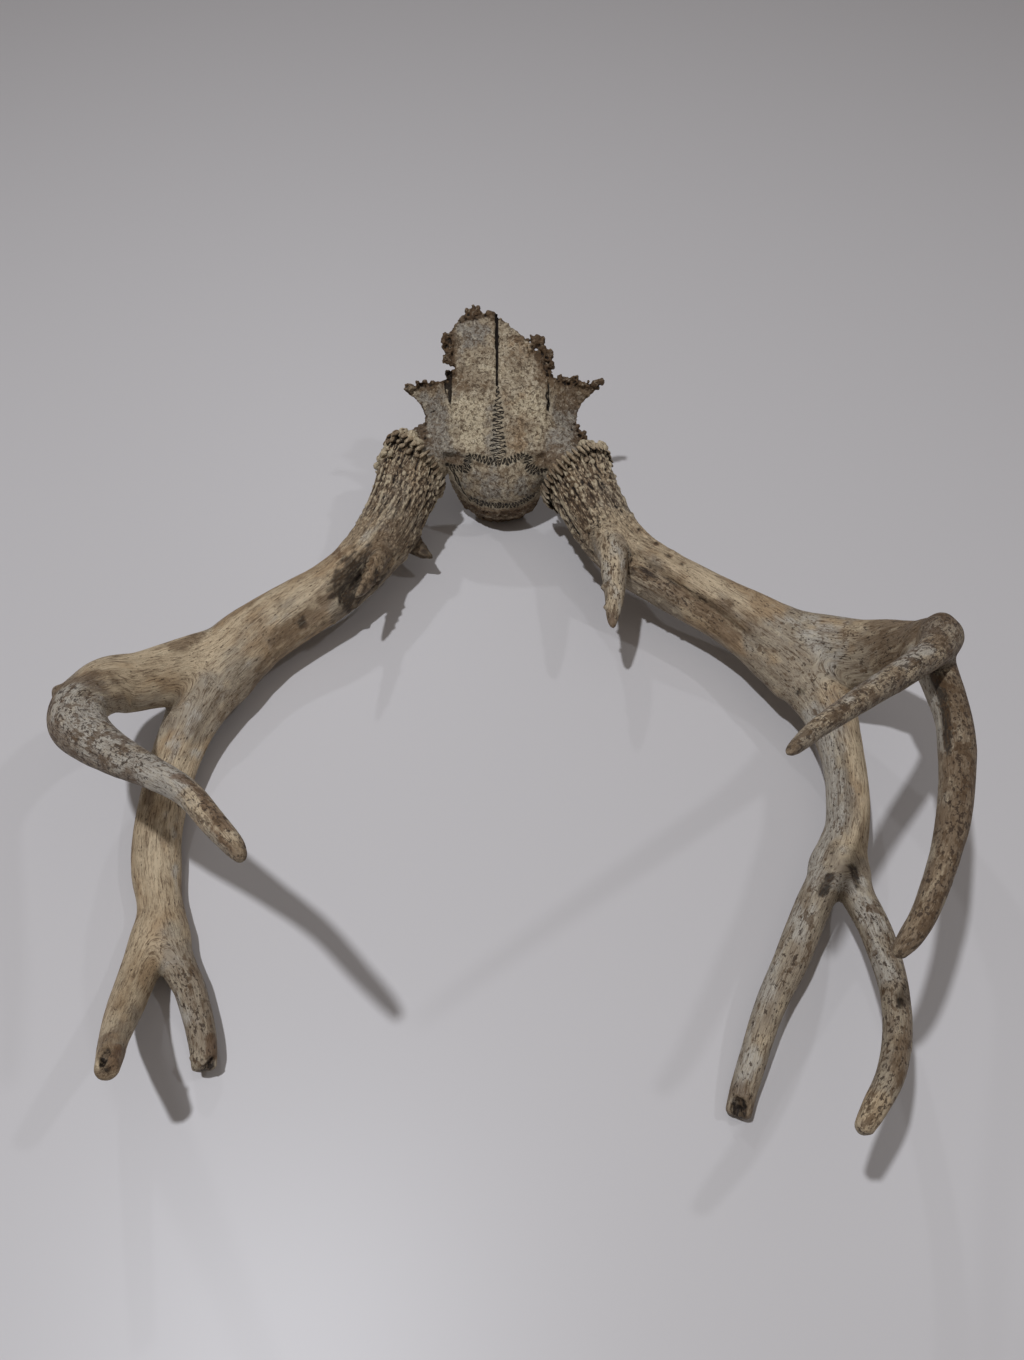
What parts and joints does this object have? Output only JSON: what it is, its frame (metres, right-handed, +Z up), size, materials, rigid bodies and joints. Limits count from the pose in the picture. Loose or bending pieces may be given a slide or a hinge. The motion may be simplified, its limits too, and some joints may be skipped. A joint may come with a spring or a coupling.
{
  "type": "deer antlers on a skull plate",
  "caption": "Pair of forked deer antlers on the broken skull plate they grew from, lying with the tines forward.",
  "frame": {"origin": "on the table, under the middle of the rack's box", "axes": "+X to the rack's right as seen from the tines, +Y from the tine tips back to the skull plate, +Z up from the table"},
  "size_m": [0.4802, 0.5198, 0.2174],
  "materials": {
    "skull_bone": "weathered bone, cream and grey with brown dirt in the cracks, matt",
    "antler": "dry antler, tan to grey with dark grain along the branches, satin"
  },
  "bodies": {
    "root": {"skull_plate": "skull_bone", "left_beam": "antler", "left_rear_fork": "antler", "left_front_fork": "antler", "right_beam": "antler", "right_rear_fork": "antler", "right_front_fork": "antler"}
  },
  "joints": []
}
